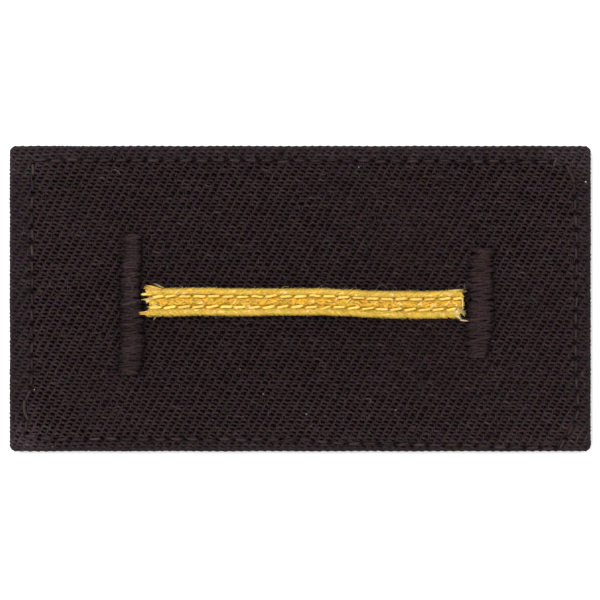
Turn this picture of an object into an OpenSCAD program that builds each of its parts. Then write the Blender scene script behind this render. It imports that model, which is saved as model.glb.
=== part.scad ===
// Cloth sleeve insignia: a hemmed twill patch with one gold braid stripe
// between two satin-stitched thread bars.
// Millimetres. X runs along the stripe, Y up the patch, Z out of its face.
// The origin is the middle of the patch, on the surface that it lies on.

/* [Patch] */
// Finished length of the patch, along the stripe
patch_length = 95; // [90:1:100]
// Finished height of the patch, across the stripe
patch_height = 50; // [48:1:54]
// Thickness of one layer of the twill
cloth_wall = 1; // [1:0.1:1.4]
// Width of the edge that is turned under to the back
hem_width = 10; // [8:0.5:11]

/* [Edge stitching] */
// Width of the channel that the stitches pull into the cloth
seam_width = 0.9; // [0.5:0.1:1.2]
// Depth of that channel
seam_depth = 0.15; // [0.05:0.05:0.25]

/* [Thread bars] */
// Width of each satin-stitched bar
bar_width = 3.5; // [3:0.1:4]
// Height of a bar's crown above the cloth
bar_crown = 0.75; // [0.5:0.05:1]
// Length of the left bar
left_bar_length = 22.6; // [18:0.2:23]
// Length of the right bar
right_bar_length = 17.6; // [14:0.2:20]
// Lean of both bars, their tops to the right, in degrees
bar_lean = 1.8; // [0:0.2:3]

/* [Braid stripe] */
// Thickness of the braid over its two side ribs
rib_thickness = 1.25; // [1.1:0.05:1.5]
// Thickness of the braid over its middle band
band_thickness = 1.1; // [0.95:0.05:1.3]
// Thickness left under the two rows of stitches
row_thickness = 0.75; // [0.6:0.05:0.9]

/* [Hidden] */

// Clearance between pieces, and the slit between the cloth and its hem
seat_gap = 0.05;
hem_slit = 0.1;
// How far a cutting shape runs past the surface that it cuts
overrun = 1;

// Heights above the surface that the patch lies on
inner_z = cloth_wall + hem_slit;
face_z = inner_z + cloth_wall;

// The folded edge is an arc that stands out this far past where the flat faces end
fold_bulge = 0.8;
// Rounding of the four corners, its centre a little nearer to the edges than its radius
corner_radius = 1.1;
corner_inset = 1.02;

// Open gaps at the mitred corners of the hem
mitre_gap = 0.4;
mitre_stop = 3;

// Corners of the edge stitching, which runs nearer to the edge at the lower right.
// Columns: x as a share of half the length, y as a share of half the height
SEAM_CORNERS = [
    [-0.920, 0.896],
    [0.946, 0.896],
    [0.938, -0.950],
    [-0.936, -0.908],
];

// Middles of the two bars
left_bar_at = [-27.5, -1];
right_bar_at = [29.5, -0.7];
// Thickness of a bar along its long edges and at its two ends
bar_edge = 0.25;
bar_end = 0.45;
// The threads go down through the cloth along both edges of a bar
leg_width = 0.3;
leg_inset = 0.35;
leg_end_margin = 0.6;
// The same threads show on the back as a thin flat rib
back_rib = 0.3;
needle_line_width = 0.8;
needle_line_depth = 0.25;

// The stripe's ends stop short of the bars
left_end_gap = 0.2;
right_end_gap = 0.4;
braid_start = left_bar_at[0] + bar_width / 2 + left_end_gap;
braid_finish = right_bar_at[0] - bar_width / 2 - right_end_gap;
// Height of the braid's woven edge above its own underside
braid_edge = 0.35;
// Course of the stripe, which wanders a little as it was sewn on.
// Columns: share of its length, height of its middle above the patch's middle, width
COURSE = [
    [0.00, -0.62, 4.55],
    [0.07, -0.56, 4.60],
    [0.18, -0.44, 4.55],
    [0.30, -0.55, 4.48],
    [0.43, -0.49, 4.36],
    [0.55, -0.48, 4.40],
    [0.63, -0.65, 4.32],
    [0.70, -0.86, 4.37],
    [0.78, -0.95, 4.50],
    [0.87, -0.99, 4.45],
    [0.95, -0.86, 4.55],
    [1.00, -0.95, 4.65],
];
// Ribs of the braid across its width.
// Columns: middle and half width as shares of half the braid's width, thickness
RIBS = [
    [-0.70, 0.31, rib_thickness],
    [0.00, 0.42, band_thickness],
    [0.70, 0.31, rib_thickness],
];
steps_between_rows = 4;
points_across = 24;

// Radius of the arc that rises by rise over a chord of the given width
function arc_radius(chord, rise) = (chord * chord / 4 + rise * rise) / (2 * rise);

// Smooth change from a to b as t goes from 0 to 1
function ease(a, b, t) = a + (b - a) * (1 - cos(180 * t)) / 2;

// Row of COURSE worked out for a place between two rows, t past row i
function course_row(i, t) = [
    COURSE[i][0] + (COURSE[i + 1][0] - COURSE[i][0]) * t,
    ease(COURSE[i][1], COURSE[i + 1][1], t),
    ease(COURSE[i][2], COURSE[i + 1][2], t),
];

// Thickness of one rib at u, which runs from -1 to 1 across the braid
function rib_height(rib, u) =
    let (off = (u - rib[0]) / rib[1])
    rib[2] * sqrt(max(0, 1 - off * off));

// Thickness of the braid at u: the ribs, the stitched rows between them and the thin edges
function braid_height(u) =
    let (least = abs(u) > abs(RIBS[0][0]) ? braid_edge : row_thickness)
    max([least, for (rib = RIBS) rib_height(rib, u)]);

// A slab whose two long edges, at +Y and -Y, are folded round
module round_edged(length, height) {
    radius = arc_radius(face_z, fold_bulge);
    core = height - 2 * radius;
    intersection() {
        translate([-length / 2, -height / 2, 0])
            cube([length, height, face_z]);
        union() {
            translate([-length, -core / 2, -overrun])
                cube([2 * length, core, face_z + 2 * overrun]);
            for (side = [-1, 1])
                translate([0, side * (height / 2 - radius), face_z / 2])
                    rotate([0, 90, 0])
                        cylinder(r = radius, h = 2 * length, center = true, $fn = 48);
        }
    }
}

// Everything outside a rounded corner, with the corner's own centre at the origin
module corner_cut() {
    difference() {
        translate([0, 0, -overrun])
            cube([2 * overrun, 2 * overrun, face_z + 2 * overrun]);
        translate([0, 0, -2 * overrun])
            cylinder(r = corner_radius, h = face_z + 4 * overrun, $fn = 48);
    }
}

// Draws its child, made for the corner at +X +Y, at all four corners, inset from the patch's edges
module at_corners(inset) {
    for (side = [0, 1], end = [0, 1])
        mirror([side, 0, 0])
            mirror([0, end, 0])
                translate([patch_length / 2 - inset, patch_height / 2 - inset, 0])
                    children();
}

// The whole outside of the hemmed cloth: face layer and hem with round folds and corners
module folded_slab() {
    difference() {
        intersection() {
            round_edged(patch_length, patch_height);
            rotate([0, 0, 90])
                round_edged(patch_height, patch_length);
        }
        at_corners(corner_inset)
            corner_cut();
    }
}

// The open back inside the hem, and the slit between the hem and the face layer
module back_opening() {
    open_length = patch_length - 2 * hem_width;
    open_height = patch_height - 2 * hem_width;
    translate([-open_length / 2, -open_height / 2, -overrun])
        cube([open_length, open_height, inner_z + overrun]);
    slit_length = patch_length - 2 * cloth_wall;
    slit_height = patch_height - 2 * cloth_wall;
    translate([-slit_length / 2, -slit_height / 2, cloth_wall])
        cube([slit_length, slit_height, hem_slit]);
}

// The slanting gaps where two turned edges meet at each corner of the hem
module mitre_gaps() {
    gap_length = (hem_width - mitre_stop) * sqrt(2);
    at_corners(hem_width)
        rotate([0, 0, 45])
            translate([-mitre_gap, -mitre_gap / 2, -overrun])
                cube([gap_length + mitre_gap, mitre_gap, inner_z + overrun]);
}

// A shallow round-bottomed channel between two points, sunk into the surface at height z
module channel(start, finish, z, width, depth) {
    radius = arc_radius(width, depth);
    run = finish - start;
    translate([start[0], start[1], z + radius - depth])
        rotate([0, 90, atan2(run[1], run[0])])
            translate([0, 0, -width / 2])
                cylinder(r = radius, h = norm(run) + width, $fn = 48);
}

// The channel that the edge stitching pulls into the face, all round
module seam_channel() {
    corners = [for (c = SEAM_CORNERS) [c[0] * patch_length / 2, c[1] * patch_height / 2]];
    for (i = [0:len(corners) - 1])
        channel(corners[i], corners[(i + 1) % len(corners)], face_z, seam_width, seam_depth);
}

// The two needle lines of a bar: a channel in the face, and the slot that the threads go through
module needle_lines(at, length) {
    slot_width = leg_width + 2 * seat_gap;
    slot_length = length - 2 * leg_end_margin + 2 * seat_gap;
    translate(at)
        rotate([0, 0, -bar_lean])
            for (side = [-1, 1]) {
                edge = side * bar_width / 2;
                channel([edge, -length / 2], [edge, length / 2], face_z, needle_line_width, needle_line_depth);
                translate([side * (bar_width / 2 - leg_inset) - slot_width / 2, -slot_length / 2, 0])
                    cube([slot_width, slot_length, face_z + overrun]);
            }
}

// One satin-stitched bar, its middle at the origin and its top at +Y
module thread_bar(length) {
    seat = face_z + seat_gap;
    across_radius = arc_radius(bar_width, bar_crown - bar_edge);
    along_radius = arc_radius(length, bar_crown - bar_end);
    intersection() {
        translate([-bar_width / 2, -length / 2, seat])
            cube([bar_width, length, bar_crown + overrun]);
        translate([0, 0, seat + bar_crown - across_radius])
            rotate([90, 0, 0])
                cylinder(r = across_radius, h = length + overrun, center = true, $fn = 96);
        translate([0, 0, seat + bar_crown - along_radius])
            rotate([0, 90, 0])
                cylinder(r = along_radius, h = bar_width + overrun, center = true, $fn = 720);
    }
    leg_length = length - 2 * leg_end_margin;
    rib_top = inner_z - seat_gap;
    for (side = [-1, 1])
        translate([side * (bar_width / 2 - leg_inset) - leg_width / 2, -leg_length / 2, rib_top - back_rib])
            cube([leg_width, leg_length, seat + bar_edge / 2 - rib_top + back_rib]);
    rib_width = bar_width - 2 * leg_inset + leg_width;
    translate([-rib_width / 2, -leg_length / 2, rib_top - back_rib])
        cube([rib_width, leg_length, back_rib]);
}

module ground_cloth() {
    color([0.16, 0.125, 0.13])
        difference() {
            folded_slab();
            back_opening();
            mitre_gaps();
            seam_channel();
            needle_lines(left_bar_at, left_bar_length);
            needle_lines(right_bar_at, right_bar_length);
        }
}

// The braid swept along its course: one ring of points for each row, flat below and ribbed above
module braid_stripe() {
    rows = [
        for (i = [0:len(COURSE) - 2], k = [0:steps_between_rows - 1]) course_row(i, k / steps_between_rows),
        COURSE[len(COURSE) - 1],
    ];
    base_z = face_z + seat_gap;
    ring = points_across + 3;
    points = [
        for (row = rows)
            let (x = braid_start + (braid_finish - braid_start) * row[0], half = row[2] / 2)
            each [
                for (k = [0:points_across])
                    let (u = 2 * k / points_across - 1)
                    [x, row[1] + u * half, base_z + braid_height(u)],
                [x, row[1] + half, base_z],
                [x, row[1] - half, base_z],
            ],
    ];
    last = (len(rows) - 1) * ring;
    sides = [
        for (i = [0:len(rows) - 2], k = [0:ring - 1])
            let (a = i * ring + k, b = i * ring + (k + 1) % ring)
            each [[a, b, b + ring], [a, b + ring, a + ring]],
    ];
    color([0.86, 0.68, 0.28])
        polyhedron(
            points = points,
            faces = concat(sides, [[for (k = [ring - 1:-1:0]) k], [for (k = [0:ring - 1]) last + k]])
        );
}

module left_bar() {
    color([0.18, 0.14, 0.14])
        translate(left_bar_at)
            rotate([0, 0, -bar_lean])
                thread_bar(left_bar_length);
}

module right_bar() {
    color([0.18, 0.14, 0.14])
        translate(right_bar_at)
            rotate([0, 0, -bar_lean])
                thread_bar(right_bar_length);
}

ground_cloth();
braid_stripe();
left_bar();
right_bar();
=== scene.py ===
"""Looks of the sleeve insignia: its twill, stitching, braid stripe and thread bars, all as real threads.

Lengths here are millimetres in the patch's own frame, and turn into metres when a mesh is made.
"""
from dataclasses import dataclass
import math

import bpy
import numpy as np
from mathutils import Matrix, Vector


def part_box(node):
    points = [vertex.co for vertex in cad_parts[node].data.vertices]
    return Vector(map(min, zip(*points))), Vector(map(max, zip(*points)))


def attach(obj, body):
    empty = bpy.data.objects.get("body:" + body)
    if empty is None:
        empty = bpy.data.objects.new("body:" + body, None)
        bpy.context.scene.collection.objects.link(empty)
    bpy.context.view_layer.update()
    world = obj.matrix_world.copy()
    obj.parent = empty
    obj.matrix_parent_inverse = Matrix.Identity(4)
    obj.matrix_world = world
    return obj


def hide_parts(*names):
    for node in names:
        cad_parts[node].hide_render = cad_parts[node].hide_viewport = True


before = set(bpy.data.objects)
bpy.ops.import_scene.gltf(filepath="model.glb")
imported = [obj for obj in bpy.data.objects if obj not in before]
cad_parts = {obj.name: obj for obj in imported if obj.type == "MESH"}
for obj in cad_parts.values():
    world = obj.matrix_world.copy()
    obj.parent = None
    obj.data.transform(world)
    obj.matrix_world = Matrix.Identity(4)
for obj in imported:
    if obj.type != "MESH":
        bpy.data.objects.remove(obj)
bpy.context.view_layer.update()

# Sizes that the CAD model gives

MM = 0.001


def box_mm(node):
    """Lowest and highest corner of a CAD node, in millimetres."""
    return tuple(np.array(corner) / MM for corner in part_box(node))


CLOTH_LOW, CLOTH_HIGH = box_mm("ground_cloth")
HALF_X, HALF_Y = (CLOTH_HIGH - CLOTH_LOW)[:2] / 2
FACE_Z = CLOTH_HIGH[2]
SEAT_GAP = 0.05
SEAT_Z = FACE_Z + SEAT_GAP
BRAID_START, BRAID_FINISH = (corner[0] for corner in box_mm("braid_stripe"))


# Curves that the shapes and colours are made of

def ease(t):
    """Smooth change from 0 to 1 as t goes from 0 to 1."""
    return (1 - np.cos(math.pi * np.clip(t, 0, 1))) / 2


def ramp(value, start, finish):
    """Smooth change from 0 to 1 as a value goes from start to finish."""
    return ease((value - start) / (finish - start))


def in_and_out(t, share):
    """0 at both ends of t, which goes from 0 to 1, and 1 between them: each change takes this share."""
    return np.minimum(ease(t / share), ease((1 - t) / share))


def fade(off, reach):
    """1 on the spot, falling to 0 with the distance from it."""
    return np.exp(-((off / reach) ** 2))


def turned(x, y, angle):
    """A place turned clockwise round the origin."""
    c, s = math.cos(angle), math.sin(angle)
    return x * c + y * s, y * c - x * s


def look_up(table, place, column=1):
    """A column of a table at each place, also between its rows. Its first column holds the places."""
    return np.interp(place, table[:, 0], table[:, column])


# Cloth: the folded edge is half an ellipse, round which the yarns go to the underside

FOLD_OUT = 0.9
FOLD_UP = FACE_Z / 2
FOLD_LENGTH = math.pi * math.sqrt((FOLD_OUT**2 + FOLD_UP**2) / 2)
FLAT_X = HALF_X - FOLD_OUT
FLAT_Y = HALF_Y - FOLD_OUT
CORNER = 1.0
WALL_FLAT = 1.0
WALL_FOLD = 0.88
BACK_Z = FACE_Z - WALL_FLAT
HEM_WIDTH = 10.0
HEM_Z = 1.0
HEM_CLEAR = 0.02
HEM_RISE = 0.07
MITRE_GAP = 0.4
# How deep the dark ground lies below the crests of the yarns, on the face and on the rim
BASE_DEPTH = 0.36
RIM_DEPTH = 0.13
BASE_STEP = 1.0
FOLD_RINGS = 10
# How far the cloth's own unevenness rises and falls from its middle height
SWELL = 0.018

# Weave: each row passes over three ends and under one, a step to the right in each row up

END_PITCH = 0.3214
REPEAT = 4 * END_PITCH
ROW_PITCH = 0.583
LAST_ROW = math.ceil((FLAT_Y + FOLD_LENGTH) / ROW_PITCH)
BOW_FROM = -10.0
BOW = 0.00048

# Edge stitching: its course, given clockwise from the top left corner

SEAM = np.array([
    (-43.6, 22.5),
    (-20.0, 22.5),
    (20.0, 22.4),
    (41.4, 22.3),
    (43.5, 21.4),
    (44.7, 18.8),
    (45.0, 10.0),
    (45.0, 0.0),
    (44.8, -8.5),
    (45.3, -19.0),
    (44.1, -21.2),
    (43.3, -22.6),
    (42.6, -24.3),
    (31.1, -24.2),
    (26.2, -23.8),
    (6.6, -23.6),
    (0.0, -23.0),
    (-33.4, -22.9),
    (-40.9, -22.9),
    (-43.3, -22.3),
    (-44.9, -22.5),
    (-44.5, -20.2),
    (-45.0, -18.7),
    (-44.9, -16.6),
    (-43.7, -14.6),
    (-43.7, 5.0),
    (-43.6, 22.5),
])
# The stitches' pitch, the share of it that each takes, where the first starts, and half their thickness
SEAM_PITCH = 2.65
SEAM_SHARE = 0.64
SEAM_OFFSET = 0.12
SEAM_THREAD = 0.22
# How deep they and their needle holes press the cloth in, and how far round them that is felt
SEAM_DEPTH = 0.10
SEAM_REACH = 0.38
HOLE_REACH = 0.42
HOLE_DEPTH = 0.06


def seam_stitches():
    """Where the edge stitches start, and where they end."""
    steps = np.linalg.norm(np.diff(SEAM, axis=0), axis=1)
    course = np.column_stack([np.cumsum([0, *steps]), SEAM])
    whole = course[-1, 0]
    pitch = whole / round(whole / SEAM_PITCH)
    starts = np.arange(SEAM_OFFSET * pitch, whole, pitch)
    runs = (starts, starts + SEAM_SHARE * pitch)
    return [np.stack([look_up(course, run, column) for column in (1, 2)], -1) for run in runs]


SEAM_STARTS, SEAM_ENDS = seam_stitches()
NEEDLE_HOLES = (SEAM_ENDS + np.roll(SEAM_STARTS, -1, axis=0)) / 2

# Thread bars, leaning as their CAD nodes do

BAR_LEAN = math.radians(1.8)
BAR_WIDTH = 3.5
# Heights above the seat: along the middle, at the sides and at the ends
BAR_CROWN = 0.75
BAR_EDGE = 0.25
BAR_END = 0.45
BAR_PITCH = 0.48
# Half width and half height of the threads on the face and on the back
BAR_THREAD = (0.235, 0.18)
BAR_BACK_THREAD = (0.33, 0.12)
BAR_FIBRE_REACH = 1.8
# The core: its shares of the bar's width and length, and how deep its top and its foot are sunk
CORE_WIDTH = 0.88
CORE_LENGTH = 0.98
CORE_DEPTH = 0.22
CORE_FOOT = 0.2
# The needle lines beside the bars, just outside their threads
NEEDLE_DEPTH = 0.22
NEEDLE_REACH = 0.5
NEEDLE_OUT = 0.15


@dataclass
class Bar:
    """One bar. Its outline has columns: place along it, from -1 to 1, and how far its threads reach left
    and right. grooves says how deep the needle lines at its left and right press, side_shade how much
    painted shade its threads get at its sides, contrast how much one differs from the next in tone, and
    fibres how many loose ones lie on it."""
    node: str
    grooves: tuple
    side_shade: float
    contrast: float
    fibres: int
    outline: list

    def __post_init__(self):
        low, high = box_mm(self.node)
        self.middle = (low + high)[:2] / 2
        self.half = (high[1] - low[1] - BAR_WIDTH * math.sin(BAR_LEAN)) / math.cos(BAR_LEAN) / 2

    def reach(self, side, along):
        """How far the threads reach to the left, side 0, or right, side 1, at a place from -1 to 1."""
        return look_up(np.array(self.outline), along, 1 + side)

    def seen_from(self, x, y):
        """Places across and along the bar, from its middle."""
        return turned(x - self.middle[0], y - self.middle[1], -BAR_LEAN)

    def place(self, across, along):
        """The reverse of seen_from."""
        x, y = turned(across, along, BAR_LEAN)
        return self.middle[0] + x, self.middle[1] + y


LEFT_BAR = Bar(
    "left_bar", grooves=(0.55, 0.65), side_shade=0.38, contrast=0.18, fibres=26, outline=[
        (-1.0, 1.60, 1.70),
        (-0.8, 1.75, 2.05),
        (-0.5, 1.55, 2.25),
        (-0.2, 1.70, 2.10),
        (0.3, 1.90, 1.25),
        (0.8, 1.65, 1.35),
        (1.0, 1.55, 1.25),
    ])
RIGHT_BAR = Bar(
    "right_bar", grooves=(0.05, 0.25), side_shade=0.26, contrast=0.09, fibres=60, outline=[
        (-1.0, 1.80, 1.35),
        (-0.8, 2.15, 1.55),
        (-0.5, 2.40, 2.10),
        (-0.1, 2.35, 2.00),
        (0.3, 2.10, 1.85),
        (0.6, 2.30, 1.85),
        (1.0, 2.10, 1.80),
    ])


# Surfaces of the cloth

def distance_to_path(x, y, path):
    """Distance from each point to the nearest of the path's straight stretches."""
    least = np.full(np.shape(x), np.inf)
    for (ax, ay), (bx, by) in zip(path[:-1], path[1:]):
        dx, dy = bx - ax, by - ay
        t = np.clip(((x - ax) * dx + (y - ay) * dy) / (dx * dx + dy * dy), 0, 1)
        least = np.minimum(least, np.hypot(x - ax - t * dx, y - ay - t * dy))
    return least


def groove(x, y, reach):
    """How much of the needle lines beside the bars is felt at each point, from 0 to 1."""
    felt = np.zeros(np.shape(x))
    for bar in (LEFT_BAR, RIGHT_BAR):
        across, along = bar.seen_from(x, y)
        past_end = np.maximum(np.abs(along) - bar.half, 0)
        for side, deep in enumerate(bar.grooves):
            out = (2 * side - 1) * (bar.reach(side, along / bar.half) + NEEDLE_OUT)
            felt = np.maximum(felt, deep * fade(np.hypot(across - out, past_end), reach))
    return felt


def relief(x, y):
    """How far the stitching and the cloth's own unevenness press the face down."""
    seam = SEAM_DEPTH * fade(distance_to_path(x, y, SEAM), SEAM_REACH)
    needle = NEEDLE_DEPTH * groove(x, y, NEEDLE_REACH)
    waves = np.sin(0.41 * x + 0.9 * np.sin(0.23 * y)) * np.cos(0.37 * y + 0.3 * np.sin(0.19 * x))
    return seam + needle + SWELL * (1 + waves)


def on_disc(a, b):
    """Draws places in a square from -1 to 1 in, so that its rim becomes a circle."""
    return a * np.sqrt(1 - b**2 / 2), b * np.sqrt(1 - a**2 / 2)


def round_corner(x, y):
    """Draws the places near the patch's four corners in, on to a quarter circle."""
    past_x = np.clip(np.abs(x) - (HALF_X - CORNER), 0, CORNER) / CORNER
    past_y = np.clip(np.abs(y) - (HALF_Y - CORNER), 0, CORNER) / CORNER
    round_x, round_y = on_disc(past_x, past_y)
    return x - np.sign(x) * CORNER * (past_x - round_x), y - np.sign(y) * CORNER * (past_y - round_y)


def wrap(u, v, depth):
    """Place of a point of the cloth: u and v are measured on the flat cloth from the face's middle,
    and depth is how far it lies below the crests of the yarns."""
    flat_u, flat_v = np.clip(u, -FLAT_X, FLAT_X), np.clip(v, -FLAT_Y, FLAT_Y)
    over_u, over_v = u - flat_u, v - flat_v
    over = np.hypot(over_u, over_v)
    turn = math.pi * np.minimum(over / FOLD_LENGTH, 1)
    out = (FOLD_OUT - depth) * np.sin(turn) / np.where(over > 0, over, 1)
    x, y = round_corner(flat_u + over_u * out, flat_v + over_v * out)
    return np.stack([x, y, FOLD_UP + (FOLD_UP - depth) * np.cos(turn)], -1)


def holes_at(x, y):
    """How deep in a needle hole of the edge stitching each point is, from 0 to 1."""
    deep = np.zeros(np.shape(x))
    for hole_x, hole_y in NEEDLE_HOLES:
        near = np.abs(y - hole_y) < 1
        deep[near] += fade(np.hypot(x[near] - hole_x, y[near] - hole_y), HOLE_REACH)
    return np.minimum(deep, 1)


def cloth_points(u, v, depth):
    """Places of the cloth, with the relief of the face, and how deep in a hole each one is."""
    flat = wrap(u, v, depth)
    x, y = flat[..., 0], flat[..., 1]
    hole = holes_at(x, y)
    return wrap(u, v, depth + relief(x, y) + HOLE_DEPTH * hole), hole


# Mesh making

def placed(name, data):
    """An object of the scene that shows a mesh, a light or a camera."""
    made = bpy.data.objects.new(name, data)
    bpy.context.scene.collection.objects.link(made)
    return made


# Margin round each thread in the map for baking, along it and round it, as a share of its cell
CELL_MARGIN = np.array([0.03, 0.06])


def tube_corners(counts, sides):
    """Corners of the faces of tubes with these numbers of rings: the ring that each is on, and its step
    round it. The side faces come first, and then the end caps."""
    last = np.cumsum(counts) - 1
    first = last - counts + 1
    r = np.repeat(np.setdiff1d(np.arange(last[-1] + 1), last), sides)
    k = np.arange(len(r)) % sides
    around = np.arange(sides)
    cap_ring = np.repeat(np.concatenate([first, last]), sides).reshape(-1, sides)
    cap_step = np.repeat([around[::-1], around], len(last), axis=0)
    return [(np.stack([r, r, r + 1, r + 1], -1), np.stack([k, k + 1, k + 1, k], -1)), (cap_ring, cap_step)]


def faces_outward(points, faces):
    """Whether closed faces look outward: the volume that they enclose is then positive."""
    volume = 0.0
    for f in faces:
        for k in range(1, f.shape[1] - 1):
            a, b, c = points[f[:, 0]], points[f[:, k]], points[f[:, k + 1]]
            volume += float(np.einsum("ij,ij->", a, np.cross(b, c)))
    return volume >= 0


def new_mesh(name, points, faces, material):
    """An object from points in millimetres and a list of arrays of faces."""
    mesh = bpy.data.meshes.new(name)
    mesh.from_pydata(np.asarray(points) * MM, [], [face for part in faces for face in part.tolist()])
    mesh.validate()
    mesh.shade_smooth()
    mesh.materials.append(material)
    return placed(name, mesh)


def add_map(piece, name, places):
    layer = piece.data.uv_layers.new(name=name)
    flat = np.concatenate([part.reshape(-1) for part in places])
    layer.uv.foreach_set("vector", flat.astype(np.float32))


def add_tint(piece, tints):
    """Colour factors, one for each point."""
    rgba = np.pad(tints, ((0, 0), (0, 1)), constant_values=1)
    layer = piece.data.attributes.new("tint", "FLOAT_COLOR", "POINT")
    layer.data.foreach_set("color", rgba.astype(np.float32).ravel())


def thread_piece(name, rings, counts, tints, material, columns):
    """One piece of many closed tubes: rings holds (ring, step round it, place), counts the rings in each
    tube, and tints the colour factors. Each tube has a cell of its own in the map for baking, in a grid
    of this many columns. The thread map holds the way along each tube and the share of the way round."""
    sides = rings.shape[1]
    points = rings.reshape(-1, 3)
    corners = tube_corners(counts, sides)
    if not faces_outward(points, [ring * sides + step % sides for ring, step in corners]):
        corners = [(ring[:, ::-1], step[:, ::-1]) for ring, step in corners]
    piece = new_mesh(name, points, [ring * sides + step % sides for ring, step in corners], material)

    tube = np.repeat(np.arange(len(counts)), counts)
    firsts = np.cumsum(counts) - counts
    middles = rings.mean(1)
    run = np.cumsum(np.linalg.norm(np.diff(middles, axis=0, prepend=middles[:1]), axis=1))
    along = run - run[firsts][tube]
    share = along / np.maximum.reduceat(along, firsts)[tube]
    cell = np.stack([tube % columns, tube // columns], -1)
    grid = (columns, math.ceil(len(counts) / columns))
    thread, bake = [], []
    for ring, step in corners:
        thread.append(np.stack([along[ring], step / sides], -1))
        in_cell = np.stack([share[ring], step / sides], -1) * (1 - 2 * CELL_MARGIN) + CELL_MARGIN
        bake.append((cell[ring] + in_cell) / grid)
    add_map(piece, "thread", thread)
    add_map(piece, "OFBake", bake)
    add_tint(piece, tints.reshape(-1, 3))
    return piece


def tube_rings(path, width, height, section):
    """Rings of a section round a path of points: width and height are half sizes, sideways and up."""
    ahead = np.gradient(path, axis=0)
    ahead /= np.linalg.norm(ahead, axis=1, keepdims=True)
    side = np.cross((0.0, 0.0, 1.0), ahead)
    steep = np.abs(ahead[:, 2]) > 0.98
    side[steep] = side[~steep].mean(0)
    side /= np.linalg.norm(side, axis=1, keepdims=True)
    up = np.cross(ahead, side)
    sideways = np.multiply.outer(np.broadcast_to(width, len(path)), section[:, 0])
    upward = np.multiply.outer(np.broadcast_to(height, len(path)), section[:, 1])
    return path[:, None] + sideways[..., None] * side[:, None] + upward[..., None] * up[:, None]


def strands_piece(name, strands, sides, material, columns):
    """One piece of many strands, each given as (path, half width, half height, colour factor)."""
    strands = list(strands)
    angle = 2 * math.pi * (np.arange(sides) + 0.5) / sides
    section = np.stack([np.cos(angle), np.sin(angle)], -1)
    rings = np.concatenate([tube_rings(path, width, height, section) for path, width, height, _ in strands])
    tints = np.concatenate([np.broadcast_to(tint, (len(path), 3)) for path, _, _, tint in strands])
    tints = np.repeat(tints[:, None], sides, 1)
    return thread_piece(name, rings, [len(strand[0]) for strand in strands], tints, material, columns)


def bend(start, middle, finish, steps):
    """Points from start to finish that bend towards middle."""
    t = np.linspace(0, 1, steps)[:, None]
    start, middle, finish = (np.array(place, float) for place in (start, middle, finish))
    return (1 - t) ** 2 * start + 2 * t * (1 - t) * middle + t**2 * finish


def hop(places, z, rise, steps):
    """A path by three places of a level plane that rises between its ends."""
    return bend(*np.column_stack([places, (z, z + rise, z)]), steps)


def own_tint(rng, spread, hue_spread):
    """Colour factor of one thread, a little lighter or darker and of another hue than the next."""
    return rng.normal(1, spread) * (1 + rng.normal(0, hue_spread, 3))


def shell(outer, inner):
    """Points and faces of a closed sheet between two grids of points."""
    rows, columns = outer.shape[:2]
    index = np.arange(rows * columns).reshape(rows, columns)
    a, b, c, d = index[:-1, :-1], index[1:, :-1], index[1:, 1:], index[:-1, 1:]
    top = np.stack([a, b, c, d], -1).reshape(-1, 4)
    under = top[:, ::-1] + rows * columns
    rim = np.concatenate([index[0, :-1], index[:-1, -1], index[-1, :0:-1], index[:0:-1, 0]])
    after = np.roll(rim, -1)
    edge = np.stack([rim, after, after + rows * columns, rim + rows * columns], -1)
    points = np.concatenate([outer.reshape(-1, 3), inner.reshape(-1, 3)])
    faces = np.concatenate([top, under, edge])
    return points, faces if faces_outward(points, [faces]) else faces[:, ::-1]


def shells_piece(name, shells, tints, rest, material):
    """One piece of several shells. Its first points have these colour factors, and all others the rest."""
    points, faces = np.empty((0, 3)), []
    for shell_points, shell_faces in shells:
        faces.append(shell_faces + len(points))
        points = np.concatenate([points, shell_points])
    piece = new_mesh(name, points, faces, material)
    add_tint(piece, np.concatenate([tints, np.tile(rest, (len(points) - len(tints), 1))]))
    return piece


# Materials

# How much of a material's drift its red, green and blue take
HUE_DRIFT = np.array([0.9, 0.9, 1.4])
# Patches of a mottled thread, and its fine fibres, in each millimetre
PATCHES = 3.4
FIBRES = 14
PLIES = 2
# How strongly the rows of the twill show beside its lines, and the painted shade and painted light that its
# relief gets
ROW_SHARE = 0.6
TWILL_LIGHT = (0.55, 1.35)


def node_tree(name):
    material = bpy.data.materials.new(name)
    material.use_nodes = True
    return material, material.node_tree, material.node_tree.nodes["Principled BSDF"]


def feed(node, inputs):
    """Sets a node's inputs, by name or number, or links them to other nodes' outputs."""
    for name, value in inputs.items():
        socket = node.inputs[name]
        if isinstance(value, bpy.types.NodeSocket):
            node.id_data.links.new(value, socket)
        else:
            socket.default_value = (*value, 1) if socket.type == "RGBA" else value


def add_node(tree, kind, inputs, **settings):
    """A new node with some of its attributes and inputs set. Gives its outputs."""
    node = tree.nodes.new(kind)
    for key, value in settings.items():
        setattr(node, key, value)
    feed(node, inputs)
    return node.outputs


def noise(tree, place, scale, detail):
    """Outputs of a noise by the object's own coordinates, scale in blobs for each millimetre."""
    return add_node(tree, "ShaderNodeTexNoise", {"Vector": place, "Scale": scale / MM, "Detail": detail})


def map_range(tree, value, low, high, to_low, to_high):
    inputs = {"Value": value, "From Min": low, "From Max": high, "To Min": to_low, "To Max": to_high}
    return add_node(tree, "ShaderNodeMapRange", inputs)["Result"]


def math_node(tree, operation, *values):
    return add_node(tree, "ShaderNodeMath", dict(enumerate(values)), operation=operation)["Value"]


def vector_node(tree, operation, inputs, output="Vector"):
    return add_node(tree, "ShaderNodeVectorMath", inputs, operation=operation)[output]


def wave(tree, place, turns):
    """Sine waves with this many turns for each step along the place's axes."""
    phase = vector_node(tree, "DOT_PRODUCT", {0: place, 1: 2 * math.pi * np.array(turns)}, "Value")
    return math_node(tree, "SINE", phase)


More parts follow.
